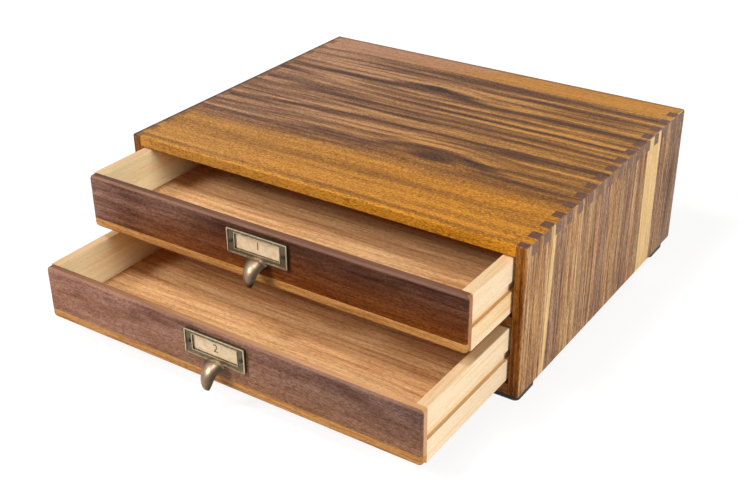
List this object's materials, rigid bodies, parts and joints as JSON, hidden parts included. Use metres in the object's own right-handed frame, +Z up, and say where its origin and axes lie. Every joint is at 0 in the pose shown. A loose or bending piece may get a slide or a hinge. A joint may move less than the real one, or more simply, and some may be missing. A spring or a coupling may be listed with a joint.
{
  "type": "desktop drawer unit",
  "caption": "Wooden desktop box with inset drawers on side runners, a finger-jointed top, and brass label frames with finger hooks as pulls.",
  "frame": {"origin": "on the floor, under the centre of the bounding box of the unit as pictured with both drawers part open; the middle of the case itself is 59.9 mm further along +Y", "axes": "+Z up, the drawers open towards -Y, +X to the right as seen from the front"},
  "size_m": [0.33, 0.3898, 0.116],
  "materials": {
    "top_wood": "oiled hardwood with dark streaks along its length",
    "side_wood": "oiled hardwood staves, upright grain",
    "case_wood": "oiled hardwood",
    "runner_wood": "planed hardwood",
    "front_wood": "dark stained hardwood, satin",
    "strip_wood": "warm hardwood, satin",
    "pale_wood": "planed pale softwood",
    "floor_wood": "brown veneered panel",
    "antique_brass": "antique brass, worn bright on the raised edges",
    "dark_brass": "dark brass",
    "card": "plain aged paper card",
    "black_pad": "matt black rubber"
  },
  "bodies": {
    "case": {"case_top": "top_wood", "case_left_side": "side_wood", "case_right_side": "side_wood", "case_bottom": "case_wood", "case_shelf": "case_wood", "case_back": "case_wood", "runner_lower_left": "runner_wood", "runner_lower_right": "runner_wood", "runner_upper_left": "runner_wood", "runner_upper_right": "runner_wood", "pad_front_left": "black_pad", "pad_front_right": "black_pad", "pad_back_left": "black_pad", "pad_back_right": "black_pad"},
    "upper_drawer": {"upper_front": "front_wood", "upper_front_strip": "strip_wood", "upper_left_side": "pale_wood", "upper_right_side": "pale_wood", "upper_back": "pale_wood", "upper_floor": "floor_wood", "upper_pull": "antique_brass", "upper_card": "card", "upper_pin_left": "dark_brass", "upper_pin_right": "dark_brass"},
    "lower_drawer": {"lower_front": "front_wood", "lower_front_strip": "strip_wood", "lower_left_side": "pale_wood", "lower_right_side": "pale_wood", "lower_back": "pale_wood", "lower_floor": "floor_wood", "lower_pull": "antique_brass", "lower_card": "card", "lower_pin_left": "dark_brass", "lower_pin_right": "dark_brass"}
  },
  "joints": [
    {"name": "upper_drawer_slide", "type": "slide", "parent": "case", "child": "upper_drawer", "axis": [0, -1, 0], "range_m": [-0.056, 0.124]},
    {"name": "lower_drawer_slide", "type": "slide", "parent": "case", "child": "lower_drawer", "axis": [0, -1, 0], "range_m": [-0.106, 0.074]}
  ]
}
